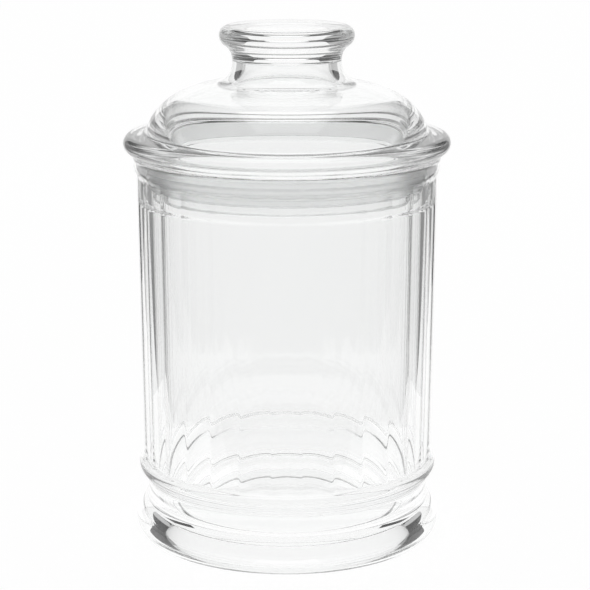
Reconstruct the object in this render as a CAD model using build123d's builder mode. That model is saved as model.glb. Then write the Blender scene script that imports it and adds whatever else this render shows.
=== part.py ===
from build123d import *
from math import atan, cos, degrees, radians, sin, sqrt, tan
import os

# A pressed-glass storage jar with a lift-off glass lid and a ribbed push-fit gasket.
# Millimetres, +Z up, origin at the centre of the ring that the foot stands on.

# ---- jar ----
RIM_Z = 141.3             # flat top of the lip
RIM_EDGE_R = 1.0
MOUTH_R = 50.9            # bore that the gasket seals in
MOUTH_LEDGE_Z = 127.0     # where the mouth bore ends in a small bevel
CAVITY_TOP_R = 50.2       # drafted inside wall below the mouth
CAVITY_LOW_R = 49.0
CAVITY_CORNER_R = 5.0
FLOOR_Z = 10.4

BEARING_IN_R = 44.0       # inside of the ring that the jar stands on
BEARING_EDGE_R = 0.8
RECESS_TOP_Z = 5.0        # hollow of the underside, with sloping sides
RECESS_TOP_R = 40.9
RECESS_CORNER_R = 1.5

FOOT_R = 56.45            # rounded foot, widest at FOOT_NOSE_Z
FOOT_NOSE_Z = 5.6
FOOT_NOSE_R = 6.8
WAIST_R = 51.8            # narrowest place, between the foot and the bead
WAIST_Z = 20.0
BEAD_R = 55.15            # raised ring at the bottom of the flutes
BEAD_Z = 26.8
BEAD_COVE_R = 4.0
BEAD_TOP_R = 2.0

FLUTES = 30               # shallow concave flutes round the body
FLUTE_DEPTH = 0.45
RIDGE_SHARE = 0.10        # part of each pitch that is left as ridge
RIDGE_LOW_R = 53.4        # the body narrows slightly downwards
RIDGE_TOP_R = 54.7
FLUTE_LOW_Z = 24.0        # both ends are buried, in the bead and in the lip
FLUTE_TOP_Z = 138.5

LIP_R = 55.65             # smooth collar round the mouth
LIP_START_R = 53.4        # its lower side starts inside the flutes
LIP_START_Z = 133.0
LIP_FULL_Z = 139.0
LIP_COVE_R = 3.0

# ---- lid ----
SEAT_GAP = 0.1            # between the jar's lip and the flange that sits on it
FLANGE_Z = RIM_Z + SEAT_GAP
FLANGE_R = 59.2
SEAT_R = 53.6             # beyond it the underside of the flange lifts off the jar's lip
FLANGE_LIFT = 1.5
FLANGE_LIFT_R = 1.4
FLANGE_NOSE_R = 3.2
FLANGE_SLOPE = 6.0        # top of the flange rises towards the dome, in degrees
DOME_FOOT_R = 51.5        # crease where the dome stands on the flange
DOME_START = 20.0         # slopes along the dome, in degrees from vertical
DOME_SHOULDER = 66.0
DOME_CROWN = 84.0
SHOULDER_R = 24.0
WALL = 3.0                # thickness of the dome
NECK_R = 19.7
NECK_COVE_R = 7.0
KNOB_R = 24.45            # solid knob, widest at KNOB_Z
KNOB_Z = 184.6
KNOB_START_Z = 175.7      # where the neck starts to widen into the knob
KNOB_COVE_R = 6.4
TOP_Z = 188.0
DISH_DEPTH = 0.4          # the knob's top is very slightly dished
DISH_RIM_R = 40.0

PLUG_LOW_Z = 127.4        # skirt that hangs into the mouth
PLUG_R = 48.8
PLUG_EDGE_R = 1.2
PLUG_BORE_LOW_R = 45.0
GROOVE_R = 47.8           # seat of the gasket on the skirt
GROOVE_LOW_Z = 130.8
SHOULDER_BORE_R = 14.0    # the dome's inside turns tighter than its outside
HOLLOW_R = 15.8           # blind hollow up the neck, which ends under the solid knob
HOLLOW_TOP_Z = 176.6
HOLLOW_CORNER_R = 1.5
FLARE_R = 10.0            # where the hollow opens into the dome

# ---- gasket ----
SEAL_GAP = 0.05           # running gap, both at the skirt and at the mouth
SEAL_END_GAP = 0.1
SEAL_SLEEVE = 1.4         # thickness between the ribs
SEAL_RIBS = 5
RIB_ROOT = 1.4
RIB_TIP = 0.5

os.makedirs("parts", exist_ok=True)


def ogee(start, heading, ahead, aside, first_radius):
    """Two tangent arcs that end ahead of start and aside of it (left is plus), on the same heading."""
    turn = degrees(2 * atan(aside / ahead))
    second_radius = ahead / abs(sin(radians(turn))) - first_radius
    first = JernArc(start, heading, first_radius, turn)
    return JernArc(first @ 1, first % 1, second_radius, -turn)


def fluted_outline(ridge_radius):
    """A closed ring of shallow concave arcs, with a narrow convex ridge between each two."""
    pitch = 360 / FLUTES
    half_ridge = pitch * RIDGE_SHARE / 2

    def at(radius, angle):
        return (radius * cos(radians(angle)), radius * sin(radians(angle)))

    with BuildLine() as outline:
        for flute in range(FLUTES):
            ridge = flute * pitch
            ridge_start = at(ridge_radius, ridge - half_ridge)
            ridge_end = at(ridge_radius, ridge + half_ridge)
            flute_middle = at(ridge_radius - FLUTE_DEPTH, ridge + pitch / 2)
            flute_end = at(ridge_radius, ridge + pitch - half_ridge)
            ThreePointArc(ridge_start, at(ridge_radius, ridge), ridge_end)
            ThreePointArc(ridge_end, flute_middle, flute_end)
    make_face(outline.edges())


# ---- glass_jar ----
with BuildPart() as glass_jar:
    # body with its flutes, solid for now
    with BuildSketch(Plane.XY.offset(FLUTE_LOW_Z)):
        fluted_outline(RIDGE_LOW_R)
    with BuildSketch(Plane.XY.offset(FLUTE_TOP_Z)):
        fluted_outline(RIDGE_TOP_R)
    loft(ruled=True)

    # foot, waist and bead
    with BuildSketch(Plane.XZ):
        with BuildLine():
            base_edge = (FOOT_R - FOOT_NOSE_R + sqrt(FOOT_NOSE_R**2 - FOOT_NOSE_Z**2), 0)
            foot_nose = (FOOT_R, FOOT_NOSE_Z)
            RadiusArc(base_edge, foot_nose, -FOOT_NOSE_R)
            ogee(foot_nose, (0, 1), WAIST_Z - FOOT_NOSE_Z, FOOT_R - WAIST_R, FOOT_NOSE_R)
            ogee((WAIST_R, WAIST_Z), (0, 1), BEAD_Z - WAIST_Z, WAIST_R - BEAD_R, BEAD_COVE_R)
            bead_top = JernArc((BEAD_R, BEAD_Z), (0, 1), BEAD_TOP_R, 90)
            Polyline(bead_top @ 1, (0, BEAD_Z + BEAD_TOP_R), (0, 0), base_edge)
        make_face()
    revolve(axis=Axis.Z)

    # lip
    with BuildSketch(Plane.XZ):
        with BuildLine():
            lip_start = (LIP_START_R, LIP_START_Z)
            lip = ogee(lip_start, (0, 1), LIP_FULL_Z - LIP_START_Z, LIP_START_R - LIP_R, LIP_COVE_R)
            Polyline(lip @ 1, (LIP_R, RIM_Z), (0, RIM_Z), (0, LIP_START_Z), lip_start)
        make_face()
    revolve(axis=Axis.Z)

    # cavity, open at the mouth
    with BuildSketch(Plane.XZ):
        with BuildLine():
            bevel = MOUTH_R - CAVITY_TOP_R
            Polyline(
                (0, FLOOR_Z),
                (CAVITY_LOW_R, FLOOR_Z),
                (CAVITY_TOP_R, MOUTH_LEDGE_Z - bevel),
                (MOUTH_R, MOUTH_LEDGE_Z),
                (MOUTH_R, RIM_Z),
                (0, RIM_Z),
                close=True,
            )
        make_face()
        fillet(vertices().group_by(Axis.Y)[0].sort_by(Axis.X)[-1], CAVITY_CORNER_R)
    revolve(axis=Axis.Z, mode=Mode.SUBTRACT)

    # hollow of the underside
    with BuildSketch(Plane.XZ):
        with BuildLine():
            Polyline(
                (0, 0),
                (BEARING_IN_R, 0),
                (RECESS_TOP_R, RECESS_TOP_Z),
                (0, RECESS_TOP_Z),
                close=True,
            )
        make_face()
        fillet(vertices().group_by(Axis.Y)[-1].sort_by(Axis.X)[-1], RECESS_CORNER_R)
    revolve(axis=Axis.Z, mode=Mode.SUBTRACT)

    fillet(glass_jar.edges().group_by(Axis.Z)[0], BEARING_EDGE_R)
    fillet(glass_jar.edges().group_by(Axis.Z)[-1], RIM_EDGE_R)

glass_jar.part.label = "glass_jar"
export_step(glass_jar.part, "parts/glass_jar.step")


# ---- glass_lid ----
with BuildPart() as glass_lid:
    start_slope = radians(DOME_START)
    shoulder_slope = radians(DOME_SHOULDER)
    crown_slope = radians(DOME_CROWN)
    crown_share = cos(shoulder_slope) - cos(crown_slope)

    # outside: skirt, flange, dome, neck and knob
    with BuildSketch(Plane.XZ):
        with BuildLine():
            seat_end = (SEAT_R, FLANGE_Z)
            nose_start = (FLANGE_R - FLANGE_NOSE_R, FLANGE_Z + FLANGE_LIFT)
            ogee(seat_end, (1, 0), nose_start[0] - SEAT_R, FLANGE_LIFT, FLANGE_LIFT_R)
            nose = JernArc(nose_start, (1, 0), FLANGE_NOSE_R, 180 - FLANGE_SLOPE)
            nose_end = nose @ 1
            slope_rise = (nose_end.X - DOME_FOOT_R) * tan(radians(FLANGE_SLOPE))
            dome_foot = (DOME_FOOT_R, nose_end.Y + slope_rise)
            Line(nose_end, dome_foot)
            shoulder_turn = DOME_SHOULDER - DOME_START
            shoulder = JernArc(dome_foot, (-sin(start_slope), cos(start_slope)), SHOULDER_R, shoulder_turn)
            shoulder_end = shoulder @ 1
            cove_run = NECK_COVE_R * (1 - cos(crown_slope))
            crown_radius = (shoulder_end.X - NECK_R - cove_run) / crown_share
            crown = JernArc(shoulder_end, shoulder % 1, crown_radius, DOME_CROWN - DOME_SHOULDER)
            neck_cove = JernArc(crown @ 1, crown % 1, NECK_COVE_R, -DOME_CROWN)
            neck_top = (NECK_R, KNOB_START_Z)
            Line(neck_cove @ 1, neck_top)
            ogee(neck_top, (0, 1), KNOB_Z - KNOB_START_Z, NECK_R - KNOB_R, KNOB_COVE_R)
            knob_edge = JernArc((KNOB_R, KNOB_Z), (0, 1), TOP_Z - KNOB_Z, 90)
            crest = knob_edge @ 1
            ogee(crest, (-1, 0), crest.X, DISH_DEPTH, DISH_RIM_R)
            Polyline(
                (0, TOP_Z - DISH_DEPTH),
                (0, PLUG_LOW_Z),
                (PLUG_R, PLUG_LOW_Z),
                (PLUG_R, GROOVE_LOW_Z),
                (GROOVE_R, GROOVE_LOW_Z),
                (GROOVE_R, FLANGE_Z),
                seat_end,
            )
        make_face()
    revolve(axis=Axis.Z)

    # inside: bore of the skirt, dome and blind hollow up the neck
    with BuildSketch(Plane.XZ):
        with BuildLine():
            inner_shoulder = (
                shoulder_end.X - WALL * cos(shoulder_slope),
                shoulder_end.Y - WALL * sin(shoulder_slope),
            )
            down = (sin(shoulder_slope), -cos(shoulder_slope))
            bore_arc = JernArc(inner_shoulder, down, SHOULDER_BORE_R, -DOME_SHOULDER)
            Polyline(
                bore_arc @ 1,
                (PLUG_BORE_LOW_R, PLUG_LOW_Z),
                (0, PLUG_LOW_Z),
                (0, HOLLOW_TOP_Z),
                (HOLLOW_R - HOLLOW_CORNER_R, HOLLOW_TOP_Z),
            )
            up = (-sin(shoulder_slope), cos(shoulder_slope))
            flare_run = FLARE_R * (1 - cos(crown_slope))
            inner_radius = (inner_shoulder[0] - HOLLOW_R - flare_run) / crown_share
            inner_crown = JernArc(inner_shoulder, up, inner_radius, DOME_CROWN - DOME_SHOULDER)
            flare = JernArc(inner_crown @ 1, inner_crown % 1, FLARE_R, -DOME_CROWN)
            hollow_corner = (HOLLOW_R, HOLLOW_TOP_Z - HOLLOW_CORNER_R)
            Line(flare @ 1, hollow_corner)
            JernArc(hollow_corner, (0, 1), HOLLOW_CORNER_R, 90)
        make_face()
    revolve(axis=Axis.Z, mode=Mode.SUBTRACT)

    fillet(glass_lid.edges().group_by(Axis.Z)[0], PLUG_EDGE_R)

glass_lid.part.label = "glass_lid"
export_step(glass_lid.part, "parts/glass_lid.step")


# ---- seal_ring ----
with BuildPart() as seal_ring:
    inner_r = GROOVE_R + SEAL_GAP
    rib_r = MOUTH_R - SEAL_GAP
    low_z = GROOVE_LOW_Z + SEAL_END_GAP
    height = FLANGE_Z - SEAL_END_GAP - low_z
    with BuildSketch(Plane.XZ):
        with Locations((inner_r + SEAL_SLEEVE / 2, low_z + height / 2)):
            Rectangle(SEAL_SLEEVE, height)
        for rib in range(SEAL_RIBS):
            rib_z = low_z + height * (rib + 0.5) / SEAL_RIBS
            Polygon(
                (inner_r + SEAL_SLEEVE / 2, rib_z - RIB_ROOT / 2),
                (rib_r, rib_z - RIB_TIP / 2),
                (rib_r, rib_z + RIB_TIP / 2),
                (inner_r + SEAL_SLEEVE / 2, rib_z + RIB_ROOT / 2),
                align=None,
            )
    revolve(axis=Axis.Z)

seal_ring.part.label = "seal_ring"
export_step(seal_ring.part, "parts/seal_ring.step")
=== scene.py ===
import math

import bpy
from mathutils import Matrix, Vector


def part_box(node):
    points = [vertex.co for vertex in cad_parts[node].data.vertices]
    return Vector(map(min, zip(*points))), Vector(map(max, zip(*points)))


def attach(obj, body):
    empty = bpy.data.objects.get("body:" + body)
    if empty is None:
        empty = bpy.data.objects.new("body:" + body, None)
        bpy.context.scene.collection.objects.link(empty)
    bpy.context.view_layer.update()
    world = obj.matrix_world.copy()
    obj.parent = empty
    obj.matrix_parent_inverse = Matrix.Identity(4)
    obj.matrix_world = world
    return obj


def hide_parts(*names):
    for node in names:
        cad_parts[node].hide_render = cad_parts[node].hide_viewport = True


# A lidded glass canister: a fluted jar, a domed lid and a gasket, each a fine turned mesh in place of its CAD
# node. The sizes of the object are in millimetres, those of the camera and the studio in metres.

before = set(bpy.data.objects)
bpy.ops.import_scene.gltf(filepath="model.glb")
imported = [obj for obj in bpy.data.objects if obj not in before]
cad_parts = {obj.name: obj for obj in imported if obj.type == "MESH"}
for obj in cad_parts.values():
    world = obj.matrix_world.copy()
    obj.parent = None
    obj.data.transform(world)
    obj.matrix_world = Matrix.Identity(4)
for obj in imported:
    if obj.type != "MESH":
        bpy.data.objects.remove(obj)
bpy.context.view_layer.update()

MM = 0.001


def node_box(name):
    """Low and high corner of a CAD node in millimetres."""
    low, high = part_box(name)
    return [value / MM for value in low], [value / MM for value in high]


jar_high = node_box("glass_jar")[1]
lid_low, lid_high = node_box("glass_lid")
seal_low, seal_high = node_box("seal_ring")


# ---------------------------------------------------------------- sizes taken from the frame
RIM_Z = jar_high[2]
TOP_Z = lid_high[2]
PLUG_LOW_Z = lid_low[2]
SEAL_LOW_Z = seal_low[2]
SEAL_TOP_Z = seal_high[2]
FOOT_R = jar_high[0]
FLANGE_R = lid_high[0]
SEAL_R = seal_high[0]


# ---------------------------------------------------------------- clearances
SEAT_GAP = 0.1            # between the jar's lip and the lid's flange
GROOVE_GAP = 0.1          # between the gasket and the lower side of its groove
SEAL_PLAY = 0.05          # between the gasket and the glass inside and outside it


# ---------------------------------------------------------------- jar
RIM_EDGE_R = 1.0
MOUTH_R = SEAL_R + SEAL_PLAY
MOUTH_LEDGE_Z = 127.0
LEDGE_RUN = 3.0
LEDGE_R = 3.2
CAVITY_TOP_R = 50.2
CAVITY_LOW_R = 49.0
CAVITY_CORNER_R = 5.0
FLOOR_Z = 10.4
RECESS_TOP_Z = 5.0
RECESS_CORNER_R = 1.5
RECESS_DRAFT = 32.0
BEARING_IN_R = 44.5
BEARING_EDGE_R = 0.8
FOOT_NOSE_Z = 5.6
FOOT_NOSE_R = 6.8
WAIST_R = 51.8
WAIST_Z = 20.0
BEAD_R = 55.15
BEAD_Z = 26.8
BEAD_COVE_R = 4.0
BEAD_NOSE_R = 2.0
BEAD_RUN_OUT = 4.4
FLUTES = 30
FLUTE_DEPTH = 0.45
RIDGE_SOFT = 0.45         # degrees over which each ridge is rounded
RIDGE_LOW_R = 53.4
RIDGE_TOP_R = 54.7
RIDGE_LOW_Z = 24.0
RIDGE_TOP_Z = 138.5
BODY_SINK = 0.6           # the plain body lies this far inside the flutes
BLEND = 0.12              # softness where the flutes run into the bead and the lip
LIP_R = 55.65
LIP_START_Z = 132.4
LIP_FULL_Z = 139.0
LIP_COVE_R = 3.0


# ---------------------------------------------------------------- lid
FLANGE_Z = RIM_Z + SEAT_GAP
SEAT_R = 53.6             # beyond it the underside of the flange lifts off the jar's lip
FLANGE_LIFT = 1.5
FLANGE_LIFT_R = 1.4
FLANGE_NOSE_R = 3.2
FLANGE_SLOPE = 6.0
DOME_FOOT_R = 51.5
DOME_START = 20.0         # degrees from upright at the dome's foot, its shoulder and its crown
DOME_SHOULDER = 66.0
DOME_CROWN = 84.0
CREASE_R = 1.2
SHOULDER_R = 24.0
WALL = 3.0
NECK_R = 19.7
NECK_COVE_R = 7.0
KNOB_R = 24.45
KNOB_EDGE_R = 3.4
KNOB_COVE_R = 6.4
KNOB_HEIGHT = 12.3
KNOB_Z = TOP_Z - KNOB_EDGE_R
KNOB_START_Z = TOP_Z - KNOB_HEIGHT
DISH_DEPTH = 0.4
DISH_RIM_R = 40.0
PLUG_R = 48.8
PLUG_EDGE_R = 1.2
PLUG_MID_R = 47.0
PLUG_BORE_LOW_R = 45.0
GROOVE_R = 47.8
GROOVE_LOW_Z = SEAL_LOW_Z - GROOVE_GAP
GROOVE_EDGE_R = 0.2
SHOULDER_BORE_R = 14.0
KNOB_SOLID = 11.4         # glass above the blind hollow
HOLLOW_TOP_Z = TOP_Z - KNOB_SOLID
HOLLOW_CORNER_R = 1.5
HOLLOW_R = 15.8
FLARE_R = 10.0


# ---------------------------------------------------------------- gasket
SEAL_IN_R = GROOVE_R + SEAL_PLAY
SEAL_SLEEVE = 1.4
SEAL_EDGE_R = 0.25
SEAL_RIBS = 5
RIB_SHARPNESS = 1.4       # 1 makes the ribs a plain wave; more makes them narrower than the gaps


# ---------------------------------------------------------------- fineness of the turned meshes
ARC_STEP = 6.0            # largest turn in degrees between points along an arc
LINE_HOLD = 0.15          # a straight run has points this close to its ends, to keep its shading flat
ON_AXIS = 1e-6            # a smaller radius counts as none
RECESS_STEPS = 3
BODY_STEPS = 10
CAVITY_STEPS = 4
FLOOR_STEPS = 4
BORE_STEPS = 3
HOLLOW_STEPS = 2
SLEEVE_STEPS = 4
RIB_STEPS = 16
ROUND_SIDES = 330         # of the lid and the gasket
FLUTE_STEPS = (0.0, 0.06, 0.12, 0.20, 0.30, 0.45, 0.62, 0.81, 1.0)   # shares of the way to mid-flute


# ---------------------------------------------------------------- glass and gasket material
GLASS_IOR = 1.5
TINT_LOW = (0.985, 0.992, 0.989, 1)
TINT_HIGH = (1, 1, 1, 1)
TINT_SCALE = 18.0
TINT_DETAIL = 3.0
BLOOM_SCALE = 240.0
BLOOM_DETAIL = 4.0
BLOOM_FROM = 0.45
BLOOM_TO = 0.8
BLOOM_ROUGH = 0.004
BLOOM_SHIFT = 3.7         # keeps the bloom and the waves apart from the tint in the noise
WAVE_SHIFT = 1.3
WAVE_SCALE = 70.0
WAVE_DETAIL = 1.0
WAVE_STRETCH = (1.0, 1.0, 0.45)
WAVE_STRENGTH = 0.02
WAVE_HEIGHT = 0.0004

GASKET_IOR = 1.1
GASKET_CLEAR = 0.95
GASKET_ROUGH_LOW = 0.3
GASKET_ROUGH_HIGH = 0.4
GASKET_TONE_LOW = (0.88, 0.885, 0.885, 1)
GASKET_TONE_HIGH = (0.93, 0.93, 0.93, 1)
CLOUD_SCALE = 120.0
CLOUD_DETAIL = 4.0
GRAIN_SCALE = 2600.0
GRAIN_DETAIL = 2.0
GRAIN_STRENGTH = 0.15
GRAIN_HEIGHT = 0.0001


# ---------------------------------------------------------------- camera
CAMERA_PLACE = (0.0029, -0.740, 0.2636)
CAMERA_PITCH = 13.29
CAMERA_LENS = 125.9
CAMERA_SENSOR = 36.0


# ---------------------------------------------------------------- studio
PAPER_TONE = (0.06, 0.06, 0.06, 1)
PAPER_ROUGH = 0.25
SWEEP_FRONT = -0.12
SWEEP_BACK = 1.10
SWEEP_BEND = 0.35
SWEEP_TOP = 1.70
SWEEP_HALF = 0.19
SWEEP_SPREAD = 0.30
SWEEP_GLOW = 0.97
SWEEP_LEVEL_STEPS = 8
SWEEP_UPRIGHT_STEPS = 4
ROOM_R = 3.0
ROOM_SIDES = 96
ROOM_WALL = 0.6
ROOM_DROP = 0.001         # keeps the floor just under the sheet
# painted light of the room: its glow rises from ROOM_GLOW at ROOM_NEAR to ROOM_FAR_GLOW at ROOM_FAR
ROOM_NEAR = 0.4
ROOM_FAR = 1.6
ROOM_GLOW = 0.18
ROOM_FAR_GLOW = 0.5
STUDIO_DARK = 0.085
SOFTBOX_PLACE = (0, -0.1, 1.5)
SOFTBOX_WIDTH = 1.0
SOFTBOX_LENGTH = 1.2
SOFTBOX_WATTS = 4.5


# ---------------------------------------------------------------- half sections
class Outline:
    """Half section of a turned piece: it stands at a place, faces a way and leaves points as it goes."""

    def __init__(self, radius, height, heading):
        self.place = (radius, height)
        self.heading = heading
        self.points = [self.place]

    def leave(self, place):
        self.place = place
        self.points.append(place)

    def arc(self, radius, turn):
        """Turns by turn degrees, left is plus, along an arc of that radius."""
        side = math.copysign(1, turn)
        facing = math.radians(self.heading)
        centre = (
            self.place[0] - side * radius * math.sin(facing),
            self.place[1] + side * radius * math.cos(facing),
        )
        steps = max(2, math.ceil(abs(turn) / ARC_STEP))
        for step in range(1, steps + 1):
            now = facing + math.radians(turn) * step / steps
            self.leave((centre[0] + side * radius * math.sin(now), centre[1] - side * radius * math.cos(now)))
        self.heading += turn
        return self

    def ogee(self, ahead, aside, first_radius):
        """Two tangent arcs that end ahead and aside, left is plus, on the same heading."""
        turn = math.degrees(2 * math.atan(aside / ahead))
        second_radius = ahead / abs(math.sin(math.radians(turn))) - first_radius
        return self.arc(first_radius, turn).arc(second_radius, -turn)

    def line_to(self, radius, height, steps=1):
        """Straight to a place in even steps, with a point close to each end too when the run is long."""
        start = self.place
        length = math.hypot(radius - start[0], height - start[1])
        shares = [step / steps for step in range(1, steps + 1)]
        if length > 4 * LINE_HOLD:
            shares = sorted({LINE_HOLD / length, *shares[:-1], 1 - LINE_HOLD / length}) + [1]
        for share in shares:
            self.leave((start[0] + (radius - start[0]) * share, start[1] + (height - start[1]) * share))
        return self


def ridge_radius(height):
    share = (height - RIDGE_LOW_Z) / (RIDGE_TOP_Z - RIDGE_LOW_Z)
    return RIDGE_LOW_R + (RIDGE_TOP_R - RIDGE_LOW_R) * share


def jar_outline():
    """From the middle of the underside, up the outside, over the lip and down to the middle of the floor."""
    body_low_r = ridge_radius(BEAD_Z + BEAD_RUN_OUT) - FLUTE_DEPTH - BODY_SINK
    body_top_r = ridge_radius(LIP_START_Z) - FLUTE_DEPTH - BODY_SINK
    side_turn = 90 - RECESS_DRAFT
    side_reach = (RECESS_CORNER_R + BEARING_EDGE_R) * math.sin(math.radians(side_turn))
    side_drop = RECESS_TOP_Z - (RECESS_CORNER_R + BEARING_EDGE_R) * (1 - math.cos(math.radians(side_turn)))
    side_run = side_drop * math.tan(math.radians(RECESS_DRAFT))
    recess_r = BEARING_IN_R - side_reach - side_run
    edge_turn = math.degrees(math.acos((FOOT_NOSE_Z - BEARING_EDGE_R) / (FOOT_NOSE_R - BEARING_EDGE_R)))
    edge_reach = math.sqrt((FOOT_NOSE_R - BEARING_EDGE_R) ** 2 - (FOOT_NOSE_Z - BEARING_EDGE_R) ** 2)
    ledge = MOUTH_R - CAVITY_TOP_R

    line = Outline(0, RECESS_TOP_Z, 0)
    line.line_to(recess_r, RECESS_TOP_Z, RECESS_STEPS)
    line.arc(RECESS_CORNER_R, -side_turn)
    line.line_to(line.place[0] + side_run, line.place[1] - side_drop)
    line.arc(BEARING_EDGE_R, side_turn)
    line.line_to(FOOT_R - FOOT_NOSE_R + edge_reach, 0)
    line.arc(BEARING_EDGE_R, edge_turn)
    line.arc(FOOT_NOSE_R, 90 - edge_turn)
    line.ogee(WAIST_Z - FOOT_NOSE_Z, FOOT_R - WAIST_R, FOOT_NOSE_R)
    line.ogee(BEAD_Z - WAIST_Z, WAIST_R - BEAD_R, BEAD_COVE_R)
    line.ogee(BEAD_RUN_OUT, BEAD_R - body_low_r, BEAD_NOSE_R)
    line.line_to(body_top_r, LIP_START_Z, BODY_STEPS)
    line.ogee(LIP_FULL_Z - LIP_START_Z, body_top_r - LIP_R, LIP_COVE_R)
    line.line_to(LIP_R, RIM_Z - RIM_EDGE_R)
    line.arc(RIM_EDGE_R, 90)
    line.line_to(MOUTH_R + RIM_EDGE_R, RIM_Z)
    line.arc(RIM_EDGE_R, 90)
    line.line_to(MOUTH_R, MOUTH_LEDGE_Z)
    line.ogee(LEDGE_RUN, -ledge, LEDGE_R)
    line.line_to(CAVITY_LOW_R, FLOOR_Z + CAVITY_CORNER_R, CAVITY_STEPS)
    line.arc(CAVITY_CORNER_R, -90)
    line.line_to(0, FLOOR_Z, FLOOR_STEPS)
    return line.points


def lid_outline():
    """From the blind end of the hollow, down the inside, round the skirt and up the outside to the dish."""
    slope_share = math.cos(math.radians(DOME_SHOULDER)) - math.cos(math.radians(DOME_CROWN))
    crown_share = 1 - math.cos(math.radians(DOME_CROWN))
    crown_turn = DOME_CROWN - DOME_SHOULDER
    crease_turn = 90 - FLANGE_SLOPE - DOME_START
    crease_gap = CREASE_R * math.tan(math.radians(crease_turn / 2))
    foot_r = DOME_FOOT_R + crease_gap * math.cos(math.radians(FLANGE_SLOPE))

    outer = Outline(PLUG_MID_R, PLUG_LOW_Z, 0)
    outer.line_to(PLUG_R - PLUG_EDGE_R, PLUG_LOW_Z)
    outer.arc(PLUG_EDGE_R, 90)
    outer.line_to(PLUG_R, GROOVE_LOW_Z - GROOVE_EDGE_R)
    outer.arc(GROOVE_EDGE_R, 90)
    outer.line_to(GROOVE_R + GROOVE_EDGE_R, GROOVE_LOW_Z)
    outer.arc(GROOVE_EDGE_R, -90)
    outer.line_to(GROOVE_R, FLANGE_Z - GROOVE_EDGE_R)
    outer.arc(GROOVE_EDGE_R, -90)
    outer.line_to(SEAT_R, FLANGE_Z)
    outer.ogee(FLANGE_R - FLANGE_NOSE_R - SEAT_R, FLANGE_LIFT, FLANGE_LIFT_R)
    outer.arc(FLANGE_NOSE_R, 180 - FLANGE_SLOPE)
    flange_rise = (outer.place[0] - foot_r) * math.tan(math.radians(FLANGE_SLOPE))
    outer.line_to(foot_r, outer.place[1] + flange_rise)
    outer.arc(CREASE_R, -crease_turn)
    outer.arc(SHOULDER_R, DOME_SHOULDER - DOME_START)
    shoulder_r, shoulder_z = outer.place
    outer.arc((shoulder_r - NECK_R - NECK_COVE_R * crown_share) / slope_share, crown_turn)
    outer.arc(NECK_COVE_R, -DOME_CROWN)
    outer.line_to(NECK_R, KNOB_START_Z)
    outer.ogee(KNOB_Z - KNOB_START_Z, NECK_R - KNOB_R, KNOB_COVE_R)
    outer.arc(KNOB_EDGE_R, 90)
    outer.ogee(outer.place[0], DISH_DEPTH, DISH_RIM_R)

    facing = math.radians(DOME_SHOULDER)
    inner_r = shoulder_r - WALL * math.cos(facing)
    inner_z = shoulder_z - WALL * math.sin(facing)
    bore_r = inner_r + SHOULDER_BORE_R * (1 - math.cos(facing))
    bore_z = inner_z - SHOULDER_BORE_R * math.sin(facing)

    inner = Outline(PLUG_MID_R, PLUG_LOW_Z, 180)
    inner.line_to(PLUG_BORE_LOW_R + PLUG_EDGE_R, PLUG_LOW_Z)
    inner.arc(PLUG_EDGE_R, -90)
    inner.line_to(bore_r, bore_z, BORE_STEPS)
    inner.arc(SHOULDER_BORE_R, DOME_SHOULDER)
    inner.arc((inner_r - HOLLOW_R - FLARE_R * crown_share) / slope_share, crown_turn)
    inner.arc(FLARE_R, -DOME_CROWN)
    inner.line_to(HOLLOW_R, HOLLOW_TOP_Z - HOLLOW_CORNER_R)
    inner.arc(HOLLOW_CORNER_R, 90)
    inner.line_to(0, HOLLOW_TOP_Z, HOLLOW_STEPS)
    return inner.points[:0:-1] + outer.points


def seal_outline():
    """Closed section of the gasket: a thin sleeve with soft round ribs on its outside."""
    sleeve_r = SEAL_IN_R + SEAL_SLEEVE
    rib_height = SEAL_R - sleeve_r
    steps = RIB_STEPS * SEAL_RIBS

    line = Outline(SEAL_IN_R + SEAL_EDGE_R, SEAL_LOW_Z, 0)
    line.line_to(sleeve_r - SEAL_EDGE_R, SEAL_LOW_Z)
    line.arc(SEAL_EDGE_R, 90)
    start_z = line.place[1]
    run = SEAL_TOP_Z - SEAL_EDGE_R - start_z
    for step in range(1, steps + 1):
        share = step / steps
        wave = (1 - math.cos(2 * math.pi * SEAL_RIBS * share)) / 2
        line.leave((sleeve_r + rib_height * wave**RIB_SHARPNESS, start_z + run * share))
    line.arc(SEAL_EDGE_R, 90)
    line.line_to(SEAL_IN_R + SEAL_EDGE_R, SEAL_TOP_Z)
    line.arc(SEAL_EDGE_R, 90)
    line.line_to(SEAL_IN_R, SEAL_LOW_Z + SEAL_EDGE_R, SLEEVE_STEPS)
    line.arc(SEAL_EDGE_R, 90)
    return line.points[:-1]


# ---------------------------------------------------------------- meshes
def fluted(radius, height, angle):
    """Radius of the jar's outside at an angle in degrees.

    It is that of the plain section or of the flutes, whichever is larger, with a soft change between them.
    """
    pitch = 360 / FLUTES
    ridge_r = ridge_radius(height)
    groove_r = ridge_r - FLUTE_DEPTH
    half = math.radians(pitch / 2)
    chord_depth = ridge_r * math.cos(half) - groove_r
    flute_r = (chord_depth**2 + (ridge_r * math.sin(half)) ** 2) / (2 * chord_depth)
    from_ridge = abs((angle + pitch / 2) % pitch - pitch / 2)
    from_middle = math.radians(pitch / 2 - math.hypot(from_ridge, RIDGE_SOFT))
    reach = groove_r + flute_r
    flute = reach * math.cos(from_middle) - math.sqrt(flute_r**2 - (reach * math.sin(from_middle)) ** 2)
    return (radius + flute + math.hypot(radius - flute, BLEND)) / 2


def jar_shape(radius, height, angle):
    """The jar's radius: fluted on the outside from the bead to the lip, plain elsewhere."""
    outside = radius > MOUTH_R + RIM_EDGE_R
    between = BEAD_Z < height < RIM_Z - RIM_EDGE_R
    return fluted(radius, height, angle) if outside and between else radius


def flute_angles():
    """Angles round the jar, closest together at the ridges."""
    pitch = 360 / FLUTES
    one = sorted({side * step * pitch / 2 for step in FLUTE_STEPS for side in (-1, 1)})[1:]
    return [flute * pitch + step for flute in range(FLUTES) for step in one]


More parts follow.
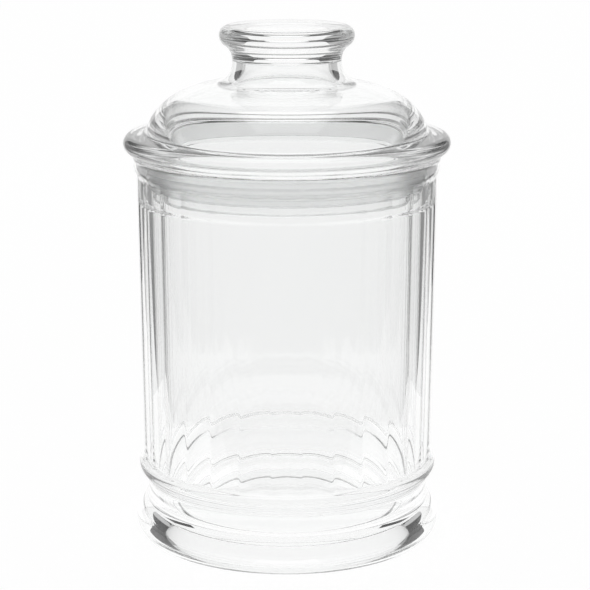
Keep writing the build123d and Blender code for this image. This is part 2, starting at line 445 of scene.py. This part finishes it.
def turned(name, outline, angles, closed=False, shape=None):
    """A smooth mesh made by turning an outline about +Z. An end on the axis becomes one point."""
    verts = []
    rings = []
    for radius, height in outline:
        if radius < ON_AXIS:
            rings.append([len(verts)])
            verts.append((0, 0, height * MM))
            continue
        rings.append(range(len(verts), len(verts) + len(angles)))
        for angle in angles:
            r = shape(radius, height, angle) if shape else radius
            turn = math.radians(angle)
            verts.append((r * math.cos(turn) * MM, r * math.sin(turn) * MM, height * MM))
    faces = []
    for index in range(len(rings) if closed else len(rings) - 1):
        low = rings[index]
        high = rings[(index + 1) % len(rings)]
        for k in range(len(angles)):
            n = (k + 1) % len(angles)
            if len(low) == 1:
                faces.append((low[0], high[n], high[k]))
            elif len(high) == 1:
                faces.append((low[k], low[n], high[0]))
            else:
                faces.append((low[k], low[n], high[n], high[k]))
    return add_mesh(name, verts, faces)


def add_mesh(name, verts, faces):
    mesh = bpy.data.meshes.new(name)
    mesh.from_pydata(verts, [], faces)
    mesh.update()
    mesh.shade_smooth()
    piece = bpy.data.objects.new(name, mesh)
    bpy.context.scene.collection.objects.link(piece)
    return piece


# ---------------------------------------------------------------- materials
def new_material(name, values):
    """A material with its node tree and its Principled shader, whose sockets start with the given values."""
    material = bpy.data.materials.new(name)
    material.use_nodes = True
    shader = material.node_tree.nodes["Principled BSDF"]
    for socket, value in values.items():
        shader.inputs[socket].default_value = value
    return material, material.node_tree, shader


def add_noise(tree, place, scale, detail, seed=None):
    """Noise over a place. With a seed it is a cut through 4-D noise at that depth."""
    noise = tree.nodes.new("ShaderNodeTexNoise")
    if seed is not None:
        noise.noise_dimensions = "4D"
        noise.inputs["W"].default_value = seed
    noise.inputs["Scale"].default_value = scale
    noise.inputs["Detail"].default_value = detail
    tree.links.new(place, noise.inputs["Vector"])
    return noise.outputs["Fac"]


def add_ramp(tree, factor, low, high, socket):
    """Drives a colour socket between two colours."""
    ramp = tree.nodes.new("ShaderNodeValToRGB")
    ramp.color_ramp.elements[0].color = low
    ramp.color_ramp.elements[1].color = high
    tree.links.new(factor, ramp.inputs["Fac"])
    tree.links.new(ramp.outputs["Color"], socket)


def add_range(tree, value, to_low, to_high, socket, from_low=0.0, from_high=1.0, easing="LINEAR"):
    """Drives a number socket between two values."""
    change = tree.nodes.new("ShaderNodeMapRange")
    change.interpolation_type = easing
    change.inputs["From Min"].default_value = from_low
    change.inputs["From Max"].default_value = from_high
    change.inputs["To Min"].default_value = to_low
    change.inputs["To Max"].default_value = to_high
    tree.links.new(value, change.inputs["Value"])
    tree.links.new(change.outputs["Result"], socket)


def add_bump(tree, height, strength, distance, shader):
    bump = tree.nodes.new("ShaderNodeBump")
    bump.inputs["Strength"].default_value = strength
    bump.inputs["Distance"].default_value = distance
    tree.links.new(height, bump.inputs["Height"])
    tree.links.new(bump.outputs["Normal"], shader.inputs["Normal"])


def glass_material(name, seed):
    """Clear glass: a faint uneven tint, a trace of bloom on its surface and slow waves, longer upwards."""
    material, tree, shader = new_material(name, {"Transmission Weight": 1.0, "IOR": GLASS_IOR})
    place = tree.nodes.new("ShaderNodeTexCoord").outputs["Object"]
    stretch = tree.nodes.new("ShaderNodeMapping")
    stretch.inputs["Scale"].default_value = WAVE_STRETCH
    tree.links.new(place, stretch.inputs["Vector"])

    tint = add_noise(tree, place, TINT_SCALE, TINT_DETAIL, seed)
    add_ramp(tree, tint, TINT_LOW, TINT_HIGH, shader.inputs["Base Color"])
    bloom = add_noise(tree, place, BLOOM_SCALE, BLOOM_DETAIL, seed + BLOOM_SHIFT)
    add_range(tree, bloom, 0.0, BLOOM_ROUGH, shader.inputs["Roughness"], BLOOM_FROM, BLOOM_TO)
    waves = add_noise(tree, stretch.outputs["Vector"], WAVE_SCALE, WAVE_DETAIL, seed + WAVE_SHIFT)
    add_bump(tree, waves, WAVE_STRENGTH, WAVE_HEIGHT, shader)
    return material


def gasket_material(name):
    """Milky soft plastic: cloudy in tone and roughness, with a very fine grain."""
    material, tree, shader = new_material(name, {"Transmission Weight": GASKET_CLEAR, "IOR": GASKET_IOR})
    place = tree.nodes.new("ShaderNodeTexCoord").outputs["Object"]
    cloud = add_noise(tree, place, CLOUD_SCALE, CLOUD_DETAIL)
    grain = add_noise(tree, place, GRAIN_SCALE, GRAIN_DETAIL)
    add_ramp(tree, cloud, GASKET_TONE_LOW, GASKET_TONE_HIGH, shader.inputs["Base Color"])
    add_range(tree, cloud, GASKET_ROUGH_LOW, GASKET_ROUGH_HIGH, shader.inputs["Roughness"])
    add_bump(tree, grain, GRAIN_STRENGTH, GRAIN_HEIGHT, shader)
    return material


def paper_material(name, glow):
    """Evenly lit paper: nearly all of its light is its own, so that it stays plain and shadowless."""
    values = {
        "Base Color": PAPER_TONE,
        "Roughness": PAPER_ROUGH,
        "Specular IOR Level": 0.0,
        "Emission Color": (1, 1, 1, 1),
        "Emission Strength": glow,
    }
    return new_material(name, values)


def room_material():
    """The same paper, glowing dim grey near the object and paler further from it: painted light from its own
    glow, not from the lamps.
    """
    material, tree, shader = paper_material("room", ROOM_GLOW)
    place = tree.nodes.new("ShaderNodeTexCoord").outputs["Object"]
    length = tree.nodes.new("ShaderNodeVectorMath")
    length.operation = "LENGTH"
    tree.links.new(place, length.inputs[0])
    distance = length.outputs["Value"]
    glow = shader.inputs["Emission Strength"]
    # painted light: the glow, not the lamps, makes the floor paler with distance from the object
    add_range(tree, distance, ROOM_GLOW, ROOM_FAR_GLOW, glow, ROOM_NEAR, ROOM_FAR, "SMOOTHSTEP")
    return material


# ---------------------------------------------------------------- the three pieces
even_angles = [360 * k / ROUND_SIDES for k in range(ROUND_SIDES)]

jar = turned("jar_glass", jar_outline(), flute_angles(), shape=jar_shape)
lid = turned("lid_glass", lid_outline(), even_angles)
seal = turned("gasket", seal_outline(), even_angles, closed=True)

for piece, node, body, slot, material in (
    (jar, "glass_jar", "jar", "clear_glass_jar", glass_material("jar clear glass", seed=0.0)),
    (lid, "glass_lid", "lid", "clear_glass_lid", glass_material("lid clear glass", seed=5.0)),
    (seal, "seal_ring", "seal", "translucent_gasket", gasket_material("gasket milky plastic")),
):
    piece.data.materials.append(material)
    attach(piece, body)
    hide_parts(node)


# ---------------------------------------------------------------- the camera
camera_data = bpy.data.cameras.new("camera")
camera_data.lens = CAMERA_LENS
camera_data.sensor_width = CAMERA_SENSOR
camera = bpy.data.objects.new("camera", camera_data)
camera.location = CAMERA_PLACE
camera.rotation_euler = (math.radians(90 - CAMERA_PITCH), 0, 0)
bpy.context.scene.collection.objects.link(camera)
bpy.context.scene.camera = camera


# ---------------------------------------------------------------- the studio
def stage_piece(name, verts, faces, material):
    piece = add_mesh(name, verts, faces)
    piece.data.materials.append(material)


def make_sweep():
    """A white sheet that lies under the object and curves up behind it, wider further back."""
    path = Outline(SWEEP_FRONT, 0, 0)
    path.line_to(SWEEP_BACK - SWEEP_BEND, 0, SWEEP_LEVEL_STEPS)
    path.arc(SWEEP_BEND, 90)
    path.line_to(SWEEP_BACK, SWEEP_TOP, SWEEP_UPRIGHT_STEPS)
    verts = []
    for y, z in path.points:
        half = SWEEP_HALF + SWEEP_SPREAD * max(y, 0)
        verts += [(-half, y, z), (half, y, z)]
    faces = [(2 * k, 2 * k + 1, 2 * k + 3, 2 * k + 2) for k in range(len(path.points) - 1)]
    material = paper_material("sweep", SWEEP_GLOW)[0]
    stage_piece("sweep", verts, faces, material)


def make_room():
    """The floor that the sheet lies on, with a low round wall far away, both grey from their own painted
    glow.
    """
    verts = [(0, 0, -ROOM_DROP)]
    faces = []
    for k in range(ROOM_SIDES):
        turn = 2 * math.pi * k / ROOM_SIDES
        x = ROOM_R * math.cos(turn)
        y = ROOM_R * math.sin(turn)
        verts += [(x, y, -ROOM_DROP), (x, y, ROOM_WALL)]
        low = 1 + 2 * k
        next_low = 1 + 2 * ((k + 1) % ROOM_SIDES)
        faces += [(0, low, next_low), (low, low + 1, next_low + 1, next_low)]
    stage_piece("room", verts, faces, room_material())


make_sweep()
make_room()

softbox_data = bpy.data.lights.new("top softbox", "AREA")
softbox_data.shape = "RECTANGLE"
softbox_data.size = SOFTBOX_WIDTH
softbox_data.size_y = SOFTBOX_LENGTH
softbox_data.energy = SOFTBOX_WATTS
softbox = bpy.data.objects.new("top softbox", softbox_data)
softbox.location = SOFTBOX_PLACE
bpy.context.scene.collection.objects.link(softbox)

world = bpy.data.worlds.new("dark studio")
world.use_nodes = True
background = world.node_tree.nodes["Background"]
background.inputs["Color"].default_value = (1, 1, 1, 1)
background.inputs["Strength"].default_value = STUDIO_DARK
bpy.context.scene.world = world

bpy.context.scene.view_settings.view_transform = "Standard"
cycles = bpy.context.scene.cycles
cycles.max_bounces = 40
cycles.transmission_bounces = 40
cycles.glossy_bounces = 24
cycles.transparent_max_bounces = 16
cycles.sample_clamp_indirect = 6.0
cycles.blur_glossy = 0.0
